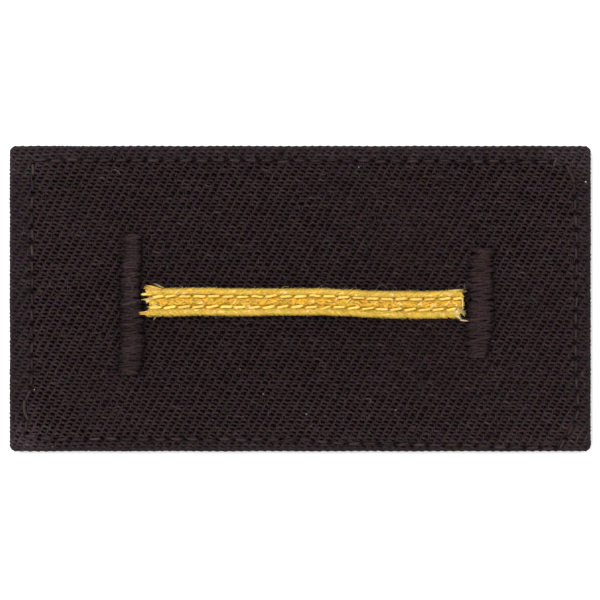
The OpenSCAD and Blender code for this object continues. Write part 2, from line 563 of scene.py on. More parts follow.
def mix_colour(tree, mode, factor, a, b):
    outputs = add_node(tree, "ShaderNodeMix", {"Factor": factor}, data_type="RGBA", blend_type=mode)
    node = outputs[0].node
    numbers = [number for number, socket in enumerate(node.inputs) if socket.type == "RGBA"]
    feed(node, dict(zip(numbers, (a, b))))
    return next(socket for socket in outputs if socket.type == "RGBA")


def thread_colour(tree, place, colour, other, blotch, drift, mottle):
    """Wanders from one colour to the other and in its hue, mottled, and follows each thread's tint."""
    share = map_range(tree, noise(tree, place, blotch, 3)["Fac"], 0.35, 0.65, 0, 1)
    shown = mix_colour(tree, "MIX", share, colour, other)
    patch = map_range(tree, noise(tree, place, PATCHES, 2)["Fac"], 0.3, 0.7, 1 - mottle, 1 + mottle)
    tint = add_node(tree, "ShaderNodeAttribute", {}, attribute_name="tint")["Color"]
    factor = vector_node(tree, "SCALE", {"Vector": tint, "Scale": patch})
    shown = mix_colour(tree, "MULTIPLY", 1.0, shown, factor)
    hue_noise = noise(tree, place, 1.7 * blotch, 2)["Color"]
    hue = vector_node(
        tree, "MULTIPLY_ADD", {0: hue_noise, 1: 2 * drift * HUE_DRIFT, 2: 1 - drift * HUE_DRIFT})
    return mix_colour(tree, "MULTIPLY", 1.0, shown, hue)


def ply_height(tree, twist):
    """Height of the plies of a twisted thread, from 0 to 1, with this pitch in millimetres."""
    map_place = add_node(tree, "ShaderNodeUVMap", {}, uv_map="thread")["UV"]
    return map_range(tree, wave(tree, map_place, (1 / twist, PLIES, 0)), -1, 1, 0, 1)


def weave_height(tree, place):
    """Height of plain twill, from 0 to 1, by the weave's own lines and rows."""
    lines = wave(tree, place, (1 / REPEAT / MM, -1 / ROW_PITCH / 4 / MM, 0))
    rows = wave(tree, place, (0, 1 / ROW_PITCH / MM, 0))
    both = math_node(tree, "ADD", lines, math_node(tree, "MULTIPLY", rows, ROW_SHARE))
    return map_range(tree, both, -1 - ROW_SHARE, 1 + ROW_SHARE, 0, 1)


def thread_material(
        name, colour, other, blotch=0.4, drift=0.3, mottle=0.2, roughness=0.85, specular=0.05, sheen=0.02,
        twist=0.0, depth=0.02, woven=False):
    """Cloth or thread. Its colour wanders in this many blotches a millimetre, and is mottled by a share.
    Its relief, of this depth, has fine fibres and the plies of a thread, where twist is their pitch.
    Woven cloth has its twill lines in relief, with painted shade between them and painted light on them."""
    material, tree, shader = node_tree(name)
    place = add_node(tree, "ShaderNodeTexCoord", {})["Object"]
    shown = thread_colour(tree, place, colour, other, blotch, drift, mottle)
    fibres = noise(tree, place, FIBRES, 4)["Fac"]
    height = map_range(tree, fibres, 0.3, 0.7, 0, 0.3)
    if twist:
        height = math_node(tree, "ADD", height, ply_height(tree, twist))
    if woven:
        twill = weave_height(tree, place)
        height = math_node(tree, "ADD", height, math_node(tree, "MULTIPLY", twill, 2.0))
        # Painted shade between the twill lines and painted light on them
        shown = vector_node(
            tree, "SCALE", {"Vector": shown, "Scale": map_range(tree, twill, 0, 1, *TWILL_LIGHT)})
    bump = add_node(tree, "ShaderNodeBump", {"Strength": 0.5, "Distance": depth * MM, "Height": height})
    feed(shader, {
        "Base Color": shown,
        "Roughness": map_range(tree, fibres, 0.3, 0.7, roughness - 0.08, roughness + 0.08),
        "Normal": bump["Normal"],
        "Sheen Weight": sheen,
        "Sheen Roughness": 0.5,
        "Specular IOR Level": specular,
    })
    return material


TWILL = thread_material(
    "twill_yarn", (0.0207, 0.0127, 0.0145), (0.0188, 0.0125, 0.0133), blotch=0.5, drift=0.4, mottle=0.27,
    specular=0.04, sheen=0.0, twist=0.35)
# Painted shade: the ground between the yarns is much darker than they are, standing for the shade deep in
# the cloth. The bars' cores share it, and the underside is tinted back to the cloth's own colour.
TWILL_BASE = thread_material(
    "twill_base", (0.0046, 0.0018, 0.0023), (0.0041, 0.0016, 0.0020), roughness=0.9, specular=0.0, sheen=0.0,
    depth=0.05, woven=True)
SEAM_MATERIAL = thread_material(
    "seam_thread", (0.0262, 0.0160, 0.0176), (0.0236, 0.0150, 0.0160), drift=0.15, roughness=0.75,
    sheen=0.0, twist=0.5, depth=0.04)
BAR_MATERIAL = thread_material(
    "bar_thread", (0.0203, 0.0113, 0.0121), (0.0174, 0.0103, 0.0109), blotch=0.9, drift=0.4, mottle=0.45,
    roughness=0.75, sheen=0.0, twist=0.55, depth=0.05)
BRAID_MATERIAL = thread_material(
    "braid_yarn", (0.478, 0.292, 0.031), (0.416, 0.245, 0.020), blotch=0.9, drift=0.24, mottle=0.24,
    roughness=0.6, specular=0.2, sheen=0.05, twist=0.3)
BRAID_STITCHES = thread_material(
    "braid_stitch_thread", (0.62, 0.413, 0.072), (0.56, 0.357, 0.056), drift=0.15, mottle=0.16,
    roughness=0.5, specular=0.25, sheen=0.05, twist=0.45, depth=0.03)
LOOSE_FIBRES = thread_material(
    "loose_fibre", (0.60, 0.54, 0.36), (0.55, 0.50, 0.32), drift=0.12, mottle=0.1, roughness=0.7,
    specular=0.2)


# Colours of the cloth

# Painted shade: the yarns' colour grows dimmer and redder the deeper they lie in the cloth, and darker in
# the needle holes. Tone on top, loss for each millimetre, the least that is left, how fast red, green
# and blue darken, and the shade in a hole
TOP_TONE = 1.12
TONE_LOSS = 3.0
LEAST_TONE = 0.3
DEPTH_HUE = (1.0, 1.12, 1.1)
HOLE_SHADE = 0.85
# The rim, outside the stitching: its width at the short and the long sides, and over what width it starts
RIM_X = 4.2
RIM_Y = 2.8
RIM_CHANGE = 1.2
# How much paler the rim and the corners are, and how much darker the cloth is round the braid
RIM_PALENESS = np.array([0.17, 0.22, 0.23])
CORNER_HUE = np.array([1.0, 1.2, 1.25])
BRAID_SHADE = np.array([0.13, 0.13, 0.18])
# How worn each corner is: the left ones and then the right ones, each lower and upper
CORNER_WEAR = np.array([(1.00, 0.58), (0.34, 0.64)])
# Towards the seams: how much paler, on the left for each millimetre
LEFT_PALER = 0.016
RIGHT_PALER = 0.05
LOWER_PALER = 0.06
# How much darker the rim is at its short sides, and as painted shade at its long sides; the painted shade
# in the cloth's grooves; and how much darker it is in its limp patches
SHORT_RIM_SHADE = 0.17
LONG_RIM_SHADE = 0.2
GROOVE_SHADE = 0.42
LIMP_SHADE = 0.6
# How much fuller the yarns are on the rim, where the folds crowd them, and beside the edge stitching
RIM_FULLER = 0.22
SEAM_FULLER = 0.08
# Limp patches, where the yarns have spread. Columns: x, y, reach and how much fuller they are
LIMP_PATCHES = [
    (18.0, 11.0, 8.0, 0.12),
    (19.0, -9.0, 8.0, 0.13),
    (8.0, 17.0, 6.0, 0.06),
    (34.0, -14.0, 8.0, 0.11),
    (38.0, -1.0, 4.0, 0.10),
    (-33.0, -15.0, 7.0, 0.11),
    (-24.0, 10.0, 4.0, 0.06),
    (-39.0, 13.0, 9.0, 0.07),
]


def rim_share(x, y):
    """1 on the patch's rim and 0 inside it."""
    return ease(np.maximum(np.abs(x) - (HALF_X - RIM_X), np.abs(y) - (HALF_Y - RIM_Y)) / RIM_CHANGE)


def limpness(x, y):
    """How much fuller the yarns are for lying in the limp patches."""
    return sum(most * fade(np.hypot(x - mx, y - my), reach) for mx, my, reach, most in LIMP_PATCHES)


def fullness(x, y):
    """How wide the yarns are at each point, as a share of their usual width."""
    by_seam = fade(distance_to_path(x, y, SEAM), 2.0)
    return 1 + RIM_FULLER * rim_share(x, y) + SEAM_FULLER * by_seam + limpness(x, y)


def cloth_tone(x, y):
    """Colour factors of the cloth: paler and greyer on its rim, greyer and paler on its worn corners, paler
    towards its seams, and darker in the limp patches and round the braid. It has painted shade in the
    needle lines beside the bars and on the rim of its long sides."""
    off_x, off_y = np.abs(x), np.abs(y)
    rim = rim_share(x, y)
    corner = ramp(off_x, HALF_X - 9, HALF_X - 1) * ramp(off_y, HALF_Y - 7, HALF_Y - 1)
    corner = corner * CORNER_WEAR[(x > 0).astype(int), (y > 0).astype(int)]
    sides = (1 - rim) * (LEFT_PALER * np.maximum(-x - 32, 0) + RIGHT_PALER * ramp(x, 31, 34))
    sides = sides - SHORT_RIM_SHADE * rim * ramp(off_x, 40, 44)
    paler = sides[..., None] + rim[..., None] * RIM_PALENESS + corner[..., None] * CORNER_HUE
    by_braid = fade(y + 2, 9.5) * (1 - 0.7 * ramp(off_x, 22, 30))
    # Painted shade in the needle-line grooves and on the rim of the long sides
    tone = (1 - GROOVE_SHADE * groove(x, y, 0.8)) * (1 - LONG_RIM_SHADE * rim * (off_y / HALF_Y) ** 12)
    tone = tone * (1 + LOWER_PALER * (1 - rim) * ramp(-y, 15, 18)) * (1 - LIMP_SHADE * limpness(x, y))
    return tone[..., None] * (1 + paler) * (1 - by_braid[..., None] * BRAID_SHADE)


def yarn_places(u, v, depth):
    """Places of the yarns and their colour factors, with painted shade between them and in the holes."""
    places, hole = cloth_points(u, v, depth)
    tone = np.clip(TOP_TONE - TONE_LOSS * np.maximum(depth - 0.02, 0), LEAST_TONE, TOP_TONE)
    tone = tone * (1 - HOLE_SHADE * hole)
    return places, tone[..., None] ** DEPTH_HUE * cloth_tone(places[..., 0], places[..., 1])


def yarn_tints(rng, count):
    """Colour factors of single yarn floats: mostly a little lighter or darker, a few much paler."""
    tone = np.exp(rng.normal(-0.035, 0.165, (count, 1)))
    tone += (rng.random((count, 1)) < 0.012) * rng.uniform(0.3, 0.8, (count, 1))
    return np.clip(tone * (1 + rng.normal(0, 0.015, (count, 3))), 0.5, 2.2)


# Twill

# A yarn's outline: flat below, hidden in the cloth, and round above. Columns: sideways, up
YARN_SECTION = np.array([(-1.0, -0.5), (-0.75, 0.45), (0.0, 1.0), (0.75, 0.45), (1.0, -0.5)])
# Rings of one repeat of a row.
# Columns: ends past the one that it dives under, how far it sways up, half its width, its tone: painted
# light near the dip and painted shade past the float's middle
ROW_RINGS = np.array([
    (0.1, 0.0, 0.13, 1.08),
    (0.8, 0.09, 0.185, 1.12),
    (1.6, 0.09, 0.21, 0.94),
    (2.25, -0.01, 0.19, 0.80),
    (2.85, -0.09, 0.21, 0.78),
    (3.5, -0.12, 0.195, 0.94),
])
ROW_HEIGHT = 0.14
DIP = 0.12
DIP_REACH = 0.55
# How far a row wanders off its line and changes its width, from one knot to the next, and from ring to ring
WANDER_PITCH = 2.2
ROW_WANDER = 0.05
ROW_SWELLING = 0.09
RING_WANDER = 0.05
RING_SWELLING = 0.14
# An upright end's outline, and its course over one row. It leans as it goes up. Columns: way up, depth
END_SECTION = np.array([(-1.0, -0.7), (0.0, 1.0), (1.0, -0.7)])
END_COURSE = np.array([(-0.56, 0.15), (-0.30, 0.07), (0.0, 0.04), (0.30, 0.07), (0.56, 0.15)])
END_HALF = 0.21
END_HEIGHT = 0.11
END_LEAN = 0.12
# Painted light: the upright ends are lighter than the floats, where the light catches them
END_TONE = 1.12


def bow(u):
    """How far the rows sink towards the left edge."""
    return -BOW * np.minimum(u - BOW_FROM, 0) ** 2


def row_reach(v):
    """How far from the middle a row at v goes along u, round the folded edges, or 0 where it can't."""
    over = max(abs(v) - FLAT_Y, 0)
    least = (0.97 * FOLD_LENGTH) ** 2 - over**2
    return FLAT_X + math.sqrt(least) if least > 0 else 0


def with_ends(part):
    """Repeats the first and the last row of an array."""
    return np.concatenate([part[:1], part, part[-1:]])


def twill_row(rng, row):
    """Rings of one row and their colour factors."""
    v_row = row * ROW_PITCH
    reach = row_reach(v_row)
    first = math.ceil(-reach / REPEAT) - 2
    repeats = np.arange(first, -first + 1)
    past_dip, sway, half, tone = np.tile(ROW_RINGS, (len(repeats), 1)).T
    ends = np.repeat(repeats * 4, len(ROW_RINGS)) + past_dip + row % 4
    u = ends * END_PITCH + rng.normal(0, 0.035, len(ends))
    lift = ease(np.minimum(past_dip, 4 - past_dip) * END_PITCH / DIP_REACH)
    float_tint = tone[:, None] * np.repeat(yarn_tints(rng, len(repeats)), len(ROW_RINGS), axis=0)
    keep = np.abs(u) < reach - 0.05
    u, lift, sway, half, float_tint = (with_ends(part[keep]) for part in (u, lift, sway, half, float_tint))
    u[[0, -1]] = -reach, reach
    knots = np.arange(-HALF_X - 4, HALF_X + 4 + WANDER_PITCH, WANDER_PITCH)
    wander = np.interp(u, knots, rng.normal(0, ROW_WANDER, len(knots)))
    swelling = 1 + np.interp(u, knots, rng.normal(0, ROW_SWELLING, len(knots)))
    width = half * swelling * rng.normal(1.045, RING_SWELLING, len(u)) * fullness(u, v_row)
    crest = DIP * (1 - lift) + np.abs(rng.normal(0, 0.012, len(u)))
    v = v_row + bow(u) + sway + wander + rng.normal(0, RING_WANDER, len(u))
    section_u = np.repeat(u[:, None], len(YARN_SECTION), 1)
    section_v = v[:, None] + YARN_SECTION[:, 0] * width[:, None]
    places, tint = yarn_places(section_u, section_v, crest[:, None] + ROW_HEIGHT * (1 - YARN_SECTION[:, 1]))
    return places, float_tint[:, None] * tint


def twill_rows(name, low, high, seed):
    """The rows numbered from low up to high, without those that can't reach round the corners."""
    rng = np.random.default_rng(seed)
    rings, tints = zip(*(twill_row(rng, row) for row in range(low, high) if row_reach(row * ROW_PITCH)))
    counts = [len(part) for part in rings]
    return thread_piece(name, np.concatenate(rings), counts, np.concatenate(tints), TWILL, 1)


def twill_ends(seed):
    """The upright ends, each seen only where it comes up over one row."""
    rng = np.random.default_rng(seed)
    last = math.ceil(FLAT_X / REPEAT) + 2
    centres = []
    for row in range(-LAST_ROW, LAST_ROW + 1):
        u = (np.arange(-last, last) * 4 + row % 4) * END_PITCH
        u = u[np.abs(u) < row_reach(row * ROW_PITCH) - 0.1]
        centres.append(np.stack([u, row * ROW_PITCH + bow(u)], -1))
    middle_u, middle_v = np.concatenate(centres).T[..., None]
    count = len(middle_u)
    steps, depths = END_COURSE.T
    tilt = rng.normal(END_LEAN, 0.055, (count, 1))
    own_tints = END_TONE * yarn_tints(rng, count) ** 0.7
    u = middle_u + rng.normal(0, 0.03, (count, 1)) + tilt * steps / steps[-1]
    v = middle_v + steps
    half = END_HALF * rng.normal(1.02, 0.2, (count, 1, 1)) * fullness(u, v)[..., None]
    section_u = u[..., None] + END_SECTION[:, 0] * half
    section_v = np.repeat(v[..., None], len(END_SECTION), 2)
    sunk = np.abs(rng.normal(0, 0.02, (count, 1, 1)))
    depth = sunk + depths[:, None] + END_HEIGHT * (1 - END_SECTION[:, 1])
    places, tint = yarn_places(section_u, section_v, depth)
    rings = places.reshape(-1, len(END_SECTION), 3)
    tints = own_tints[:, None, None] * tint
    return thread_piece("twill_ends", rings, [len(steps)] * count, tints, TWILL, 80)


# Ground below the yarns, painted dark as the shade deep in the cloth, with the hem

# Colour factors of the underside, which lift it from the ground's painted shade to the cloth's own colour,
# how much paler the ground is on the rim and round the fold, and how much less painted shade it has in the
# limp patches
UNDERSIDE = (4.0, 7.2, 6.2)
GROUND_PALENESS = np.array([1.5, 3.0, 2.6])
LIMP_SHOWS = 6


def base_grid():
    """Places of the ground's grid on the flat cloth, its corners drawn in so that all of it goes round,
    and how far round the fold each one is, from 0 to 1."""
    fold = np.linspace(0, 1, FOLD_RINGS + 1)[1:]
    flat, round_fold = [], []
    for half in (FLAT_X, FLAT_Y):
        steps = np.linspace(-half, half, round(2 * half / BASE_STEP))
        flat.append(np.pad(steps, FOLD_RINGS, mode="edge"))
        round_fold.append(np.concatenate([-fold[::-1], np.zeros(len(steps)), fold]))
    u, v = np.meshgrid(*flat, indexing="ij")
    a, b = np.meshgrid(*round_fold, indexing="ij")
    over_u, over_v = on_disc(a, b)
    return u + FOLD_LENGTH * over_u, v + FOLD_LENGTH * over_v, np.maximum(np.abs(a), np.abs(b))


def hem_strip(side, end):
    """One turned-under edge as a flat strip with slanting ends: side is +1 or -1, and end its axis."""
    long_half, short_half = (FLAT_X, FLAT_Y) if end == 0 else (FLAT_Y, FLAT_X)
    inward = np.linspace(-0.05, HEM_WIDTH - FOLD_OUT, 12)
    d, t = np.meshgrid(inward, np.linspace(-1, 1, 60), indexing="ij")
    x, y = t * (long_half - d - MITRE_GAP * ramp(d, 1, 4)), side * (short_half - d)
    low = HEM_CLEAR + HEM_RISE * ease(d / 1.2)
    under = np.stack([x, y, low] if end == 0 else [y, x, low], -1)
    over = under.copy()
    over[..., 2] = HEM_Z
    return shell(under, over)


def ground_cloth():
    """The ground from the face right round the folds, with the four hems that lie under it."""
    u, v, round_fold = base_grid()
    outer, hole = cloth_points(u, v, BASE_DEPTH + (RIM_DEPTH - BASE_DEPTH) * ease(round_fold * 5))
    inner = wrap(u, v, WALL_FLAT + (WALL_FOLD - WALL_FLAT) * ease(round_fold * 3))
    inner[..., 2] = np.where(round_fold > 0, inner[..., 2], BACK_Z)
    shells = [shell(outer, inner)] + [hem_strip(side, end) for end in (0, 1) for side in (-1, 1)]
    x, y = outer[..., 0].ravel(), outer[..., 1].ravel()
    # Paler on the rim and round the fold, away from the seam; painted shade in the needle holes, and less
    # painted shade in the limp patches
    off_seam = 1 - fade(distance_to_path(x, y, SEAM), 0.9)
    closed = 1 - hole.ravel()
    paler_ground = (rim_share(x, y) * off_seam + 2 * ease(round_fold.ravel() * 4)) * closed
    tone = (0.2 + 0.8 * closed) * (1 + LIMP_SHOWS * limpness(x, y))
    tints = tone[:, None] * (1 + paler_ground[:, None] * GROUND_PALENESS)
    return shells_piece("ground_cloth_base", shells, tints, UNDERSIDE, TWILL_BASE)


THIRD = LAST_ROW // 3
base = ground_cloth()
twill_pieces = [
    base,
    twill_rows("twill_rows_lower", -LAST_ROW, -THIRD, 11),
    twill_rows("twill_rows_middle", -THIRD, THIRD, 12),
    twill_rows("twill_rows_upper", THIRD, LAST_ROW + 1, 13),
    twill_ends(14),
]


# Edge stitching

# Stitches that came loose or were sewn again, each with three places that it goes by and its colour factor
LOOSE_STITCHES = [
    ((-44.93, -16.6), (-45.2, -18.6), (-44.3, -19.7), (1.30, 1.40, 1.22)),
    ((41.35, 21.6), (41.6, 22.3), (41.8, 22.95), (1.15, 1.35, 1.2)),
    ((43.4, 21.6), (44.2, 20.4), (44.65, 18.9), (1.05, 1.15, 1.0)),
]


def stitch_path(start, finish, top, deep, steps=11):
    """A stitch from one needle hole to the next, out of the cloth, along its surface and in again."""
    t = np.linspace(0, 1, steps)
    x, y = (start + (finish - start) * t[:, None]).T
    return np.stack([x, y, deep + (top - deep) * in_and_out(t, 0.16)], -1)


def edge_stitches():
    """One row right round, with the stitches of the under thread on the hem's back."""
    rng = np.random.default_rng(21)
    for start, middle, finish, tint in LOOSE_STITCHES:
        path = bend((*start, FACE_Z - 0.25), (*middle, FACE_Z + 0.15), (*finish, FACE_Z - 0.3), 11)
        yield path, SEAM_THREAD * 1.2, SEAM_THREAD, tint
    for start, finish in zip(SEAM_STARTS, SEAM_ENDS):
        ahead = (finish - start) / np.linalg.norm(finish - start)
        side = np.array([-ahead[1], ahead[0]])
        start, finish = (place + side * rng.normal(0, 0.09) for place in (start, finish))
        near_edge = max(abs(start[0]) - HALF_X, abs(start[1]) - HALF_Y) + 1.6
        path = stitch_path(start, finish, FACE_Z - 0.18 * ease(near_edge), FACE_Z - 0.4)
        swell = 1 - 0.25 * np.abs(np.linspace(-1, 1, len(path))) ** 3
        radius = SEAM_THREAD * rng.normal(1, 0.07) * swell
        tint = np.exp(rng.normal(-0.06, 0.19)) * (1 + rng.normal(0, 0.02, 3))
        yield path, radius, radius * 0.85, tint
        yield stitch_path(start, finish, 0.07, 0.3, 7), 0.14, 0.06, 0.9 * tint


# Threads of the bars

def bar_height(across, along):
    """Height of a bar's threads above its seat. Both places are shares of half its size."""
    crown = BAR_EDGE + (BAR_CROWN - BAR_EDGE) * np.sqrt(np.maximum(1 - across**2, 0))
    return crown * (1 - (1 - BAR_END / BAR_CROWN) * np.abs(along) ** 6)


def bar_core(name, bar):
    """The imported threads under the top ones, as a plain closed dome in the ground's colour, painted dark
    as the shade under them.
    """
    a, b = np.meshgrid(np.linspace(-1, 1, 15), np.linspace(-1, 1, 41), indexing="ij")
    reach = np.where(a < 0, bar.reach(0, b), bar.reach(1, b))
    x, y = bar.place(CORE_WIDTH * reach * a, CORE_LENGTH * bar.half * b)
    top = SEAT_Z + bar_height(a, b) - CORE_DEPTH
    foot = np.full_like(x, FACE_Z - CORE_FOOT)
    dome = shell(np.stack([x, y, top], -1), np.stack([x, y, foot], -1))
    return shells_piece(name, [dome], np.empty((0, 3)), (1, 1, 1), TWILL_BASE)


def satin_thread(rng, bar, along, layer, near_end):
    """One thread over the bar, down through the cloth at both its ends. It is shorter near the bar's ends,
    and those of the upper layer, 1, lean the other way and lie higher than those of layer 0, which has
    painted shade. All threads have painted shade towards the bar's sides."""
    reaches = np.array([bar.reach(side, along / bar.half) for side in (0, 1)])
    left, right = reaches * rng.normal(0.96, 0.10, 2) - 0.10 * max(0, 2 - near_end)
    across = np.linspace(-left, right, 17)
    off = np.where(across < 0, -across / reaches[0], across / reaches[1])
    slope = 0.09 * (2 * layer - 1) + rng.normal(0, 0.13)
    waver = 0.10 * rng.normal() * np.sin(rng.uniform(1.2, 2.6) * across + rng.uniform(0, 6))
    y = np.clip(along + slope * across + waver, -bar.half, bar.half)
    over = in_and_out(np.linspace(0, 1, len(across)), 0.1)
    height = (0.8 + 0.2 * layer) * bar_height(np.minimum(off, 1), y / bar.half) - 0.16 + rng.normal(0, 0.03)
    path = np.column_stack([*bar.place(across, y), SEAT_Z + height * over - 0.35 * (1 - over)])
    width = BAR_THREAD[0] * rng.normal(1, 0.2) * (0.65 + 0.35 * over)
    # Painted shade: the lower layer and the threads towards the bar's sides are darker
    tone = np.exp(rng.normal(-0.02, bar.contrast)) * (0.74 + 0.34 * layer)
    tone = tone * (0.98 - bar.side_shade * ramp(off, 0.15, 1.05))
    return path, width, BAR_THREAD[1], np.clip(tone[:, None] * (1 + rng.normal(0, 0.03, 3)), 0.2, 2.2)


def back_threads(rng, bar):
    """The threads' runs on the cloth's back, from one side of the bar to the other."""
    t = np.linspace(-1, 1, 7)
    for along in np.arange(-bar.half + 0.3, bar.half - 0.3, 1.5 * BAR_PITCH):
        x, y = bar.place(t * BAR_WIDTH / 2, along + rng.normal(0.1, 0.05) * t)
        z = BACK_Z - 0.15 * np.sqrt(1 - t**2) + rng.normal(0, 0.02)
        yield np.column_stack([x, y, z]), *BAR_BACK_THREAD, rng.normal(0.95, 0.1)


def bar_fibres(rng, bar):
    """Fine loose fibres that lie on the bar."""
    s = np.linspace(-1, 1, 9)
    for _ in range(bar.fibres):
        across, along = rng.uniform(-1.0, 0.9), rng.uniform(-0.97, 0.97)
        turn, reach = rng.normal(0.1, 0.6), rng.uniform(0.3, 0.8)
        a = across + reach * math.cos(turn) * s
        b = along * bar.half + reach * math.sin(turn) * s + rng.normal(0, 0.12) * s**2
        top = bar_height(np.clip(a / BAR_FIBRE_REACH, -1, 1), np.clip(b / bar.half, -1, 1))
        yield np.column_stack([*bar.place(a, b), SEAT_Z + top + 0.02]), 0.05, 0.04, rng.uniform(1.1, 2.0)


def bar_threads(bar, seed):
    """Threads side by side over the bar in two layers, their runs on the back, and loose fibres."""
    rng = np.random.default_rng(seed)
    count = round(2 * bar.half / BAR_PITCH)
    for layer in (0, 1):
        for i in range(count + layer):
            along = (2 * i + 1 - layer) * bar.half / count - bar.half
            yield satin_thread(rng, bar, along, layer, min(i, count + layer - 1 - i))
    yield from back_threads(rng, bar)
    yield from bar_fibres(rng, bar)


# Braid stripe: the same course as the CAD's.
# Columns: share of its length, height of its middle above the patch's middle, width
COURSE = np.array([
    (0.00, -0.62, 4.55),
    (0.07, -0.56, 4.60),
    (0.18, -0.44, 4.55),
    (0.30, -0.55, 4.48),
    (0.43, -0.49, 4.36),
    (0.55, -0.48, 4.40),
    (0.63, -0.65, 4.32),
    (0.70, -0.86, 4.37),
    (0.78, -0.95, 4.50),
    (0.87, -0.99, 4.45),
    (0.95, -0.86, 4.55),
    (1.00, -0.95, 4.65),
])
# Places across the braid go from -1 to 1: its side ribs, the rows of stitches and the middle band
RIB_AT = 0.70
RIB_HALF = 0.31
RIB_INNER = 0.47
ROW_AT = 0.385
BAND_HALF = 0.42
BAND_REACH = 0.34
# Heights of these above the seat
RIB_TOP = 1.25
BAND_TOP = 1.10
ROW_TOP = 0.75
BRAID_EDGE = 0.35
# Yarns of the ribs, which lean this far along, and of the band
WRAP_PITCH = 0.24
WRAP_LEAN = 1.5
BAND_PITCH = 0.19
# Where the stitches of the upper and the lower row start
STITCH_ROWS = (
    (1, np.concatenate([[-25.8, -24.0], np.arange(-22.05, 26.0, 2.345)])),
    (-1, np.arange(-24.5, 24.5, 2.30)),
)
STITCH_LENGTH = 1.98
STITCH_THREAD = 0.232
# How far the frayed ends fall short of the CAD's, by height across the braid from -1 to 1
LEFT_FRAY = np.array([
    (-1.0, 0.65),
    (-0.83, 0.10),
    (-0.65, 0.65),
    (-0.45, 1.15),
    (-0.20, 1.15),
    (0.00, 0.95),
    (0.20, 0.35),
    (0.40, 0.60),
    (0.80, 0.45),
    (1.00, 0.35),
])
RIGHT_FRAY = np.array([
    (-1.0, 1.7),
    (-0.6, 1.3),
    (-0.4, 0.75),
    (0.0, 0.75),
    (0.7, 0.85),
    (1.0, 1.1),
])
# Pale threads that cross the middle band. Columns: x and y of the lower end, and how far they go in x and y
CROSS_STITCHES = [
    (7.39, -0.80, 0.82, 0.80),
    (11.97, -0.97, 0.65, 0.50),
    (19.00, -1.29, 0.82, 0.80),
    (21.30, -1.29, 0.65, 0.50),
    (23.42, -1.29, 0.98, 0.95),
    (-11.0, -0.85, 0.60, 0.55),
]
# Colour factors of the braid's body, of its band and of the cross stitches, and of the painted shade in its
# dimples
BRAID_BODY = np.array([1.22, 1.08, 0.60])
BAND_HUE = np.array([1.08, 0.98, 0.62])
CROSS_HUE = (0.95, 0.98, 1.6)
DIMPLE_SHADE = np.array([0.38, 0.46, 0.62])


def braid_course(x):
    """Middle and half width of the braid at x."""
    share = np.clip((x - BRAID_START) / (BRAID_FINISH - BRAID_START), 0, 1)
    i = np.clip(np.searchsorted(COURSE[:, 0], share, side="right") - 1, 0, len(COURSE) - 2)
    a, b = COURSE[i], COURSE[i + 1]
    t = ramp(share, a[..., 0], b[..., 0])[..., None]
    middle, width = np.moveaxis((a + (b - a) * t)[..., 1:], -1, 0)
    return middle, width / 2


def braid_height(u):
    """Thickness of the braid at u, from -1 to 1 across it."""
    heights = [np.where(np.abs(u) > RIB_AT, BRAID_EDGE, ROW_TOP)]
    for off, half, top in ((np.abs(u) - RIB_AT, RIB_HALF, RIB_TOP), (u, BAND_HALF, BAND_TOP)):
        heights.append(top * np.sqrt(np.maximum(0, 1 - (off / half) ** 2)))
    return np.maximum.reduce(heights)


def braid_point(x, u, above):
    """A place on the braid: x along it, u across it, and how far above its surface."""
    middle, half = braid_course(x)
    return np.stack([x, middle + u * half, SEAT_Z + braid_height(u) + above], -1)


def braid_ends(u):
    """Where the frayed braid starts and finishes at u."""
    return BRAID_START + look_up(LEFT_FRAY, u), BRAID_FINISH - look_up(RIGHT_FRAY, u)


def braid_core():
    """The braid's body under its surface yarns, with painted shade at the needle holes and in the gaps
    beside the middle band.
    """
    rng = np.random.default_rng(44)
    share, u = np.meshgrid(np.linspace(0, 1, 220), np.linspace(-0.94, 0.94, 27), indexing="ij")
    start, finish = braid_ends(u)
    x = start + 0.35 + (finish - start - 0.6) * share
    top = braid_point(x, u, -0.12)
    under = top.copy()
    under[..., 2] = SEAT_Z

    def dimple(at_x, at_u, reach_x, reach_u):
        return fade(x - at_x, reach_x) * fade(u - at_u, reach_u)

    deep = np.zeros(x.shape)
    for side, starts in STITCH_ROWS:
        for hole_x in starts - 0.17:
            deep += 0.6 * dimple(hole_x, side * ROW_AT, 0.22, 0.11)
        for edge in (0.27, 0.50):
            for gap_x in np.arange(BRAID_START, BRAID_FINISH, 0.95) + rng.normal(0, 0.15):
                gap_x, gap_u = gap_x + rng.normal(0, 0.12), side * edge + rng.normal(0, 0.02)
                deep += rng.uniform(0.3, 1.3) * dimple(gap_x, gap_u, 0.17, 0.06)
    tints = BRAID_BODY * (1 - np.minimum(deep, 1).reshape(-1, 1) * DIMPLE_SHADE)
    return shells_piece("braid_core", [shell(top, under)], tints, BRAID_BODY, BRAID_MATERIAL)


def in_braid(x, u, rng):
    """Which places lie between the frayed ends. Each yarn is cut a little short or long."""
    short = rng.normal(0, 0.08)
    start, finish = braid_ends(u)
    return (x > start + short) & (x < finish + short)


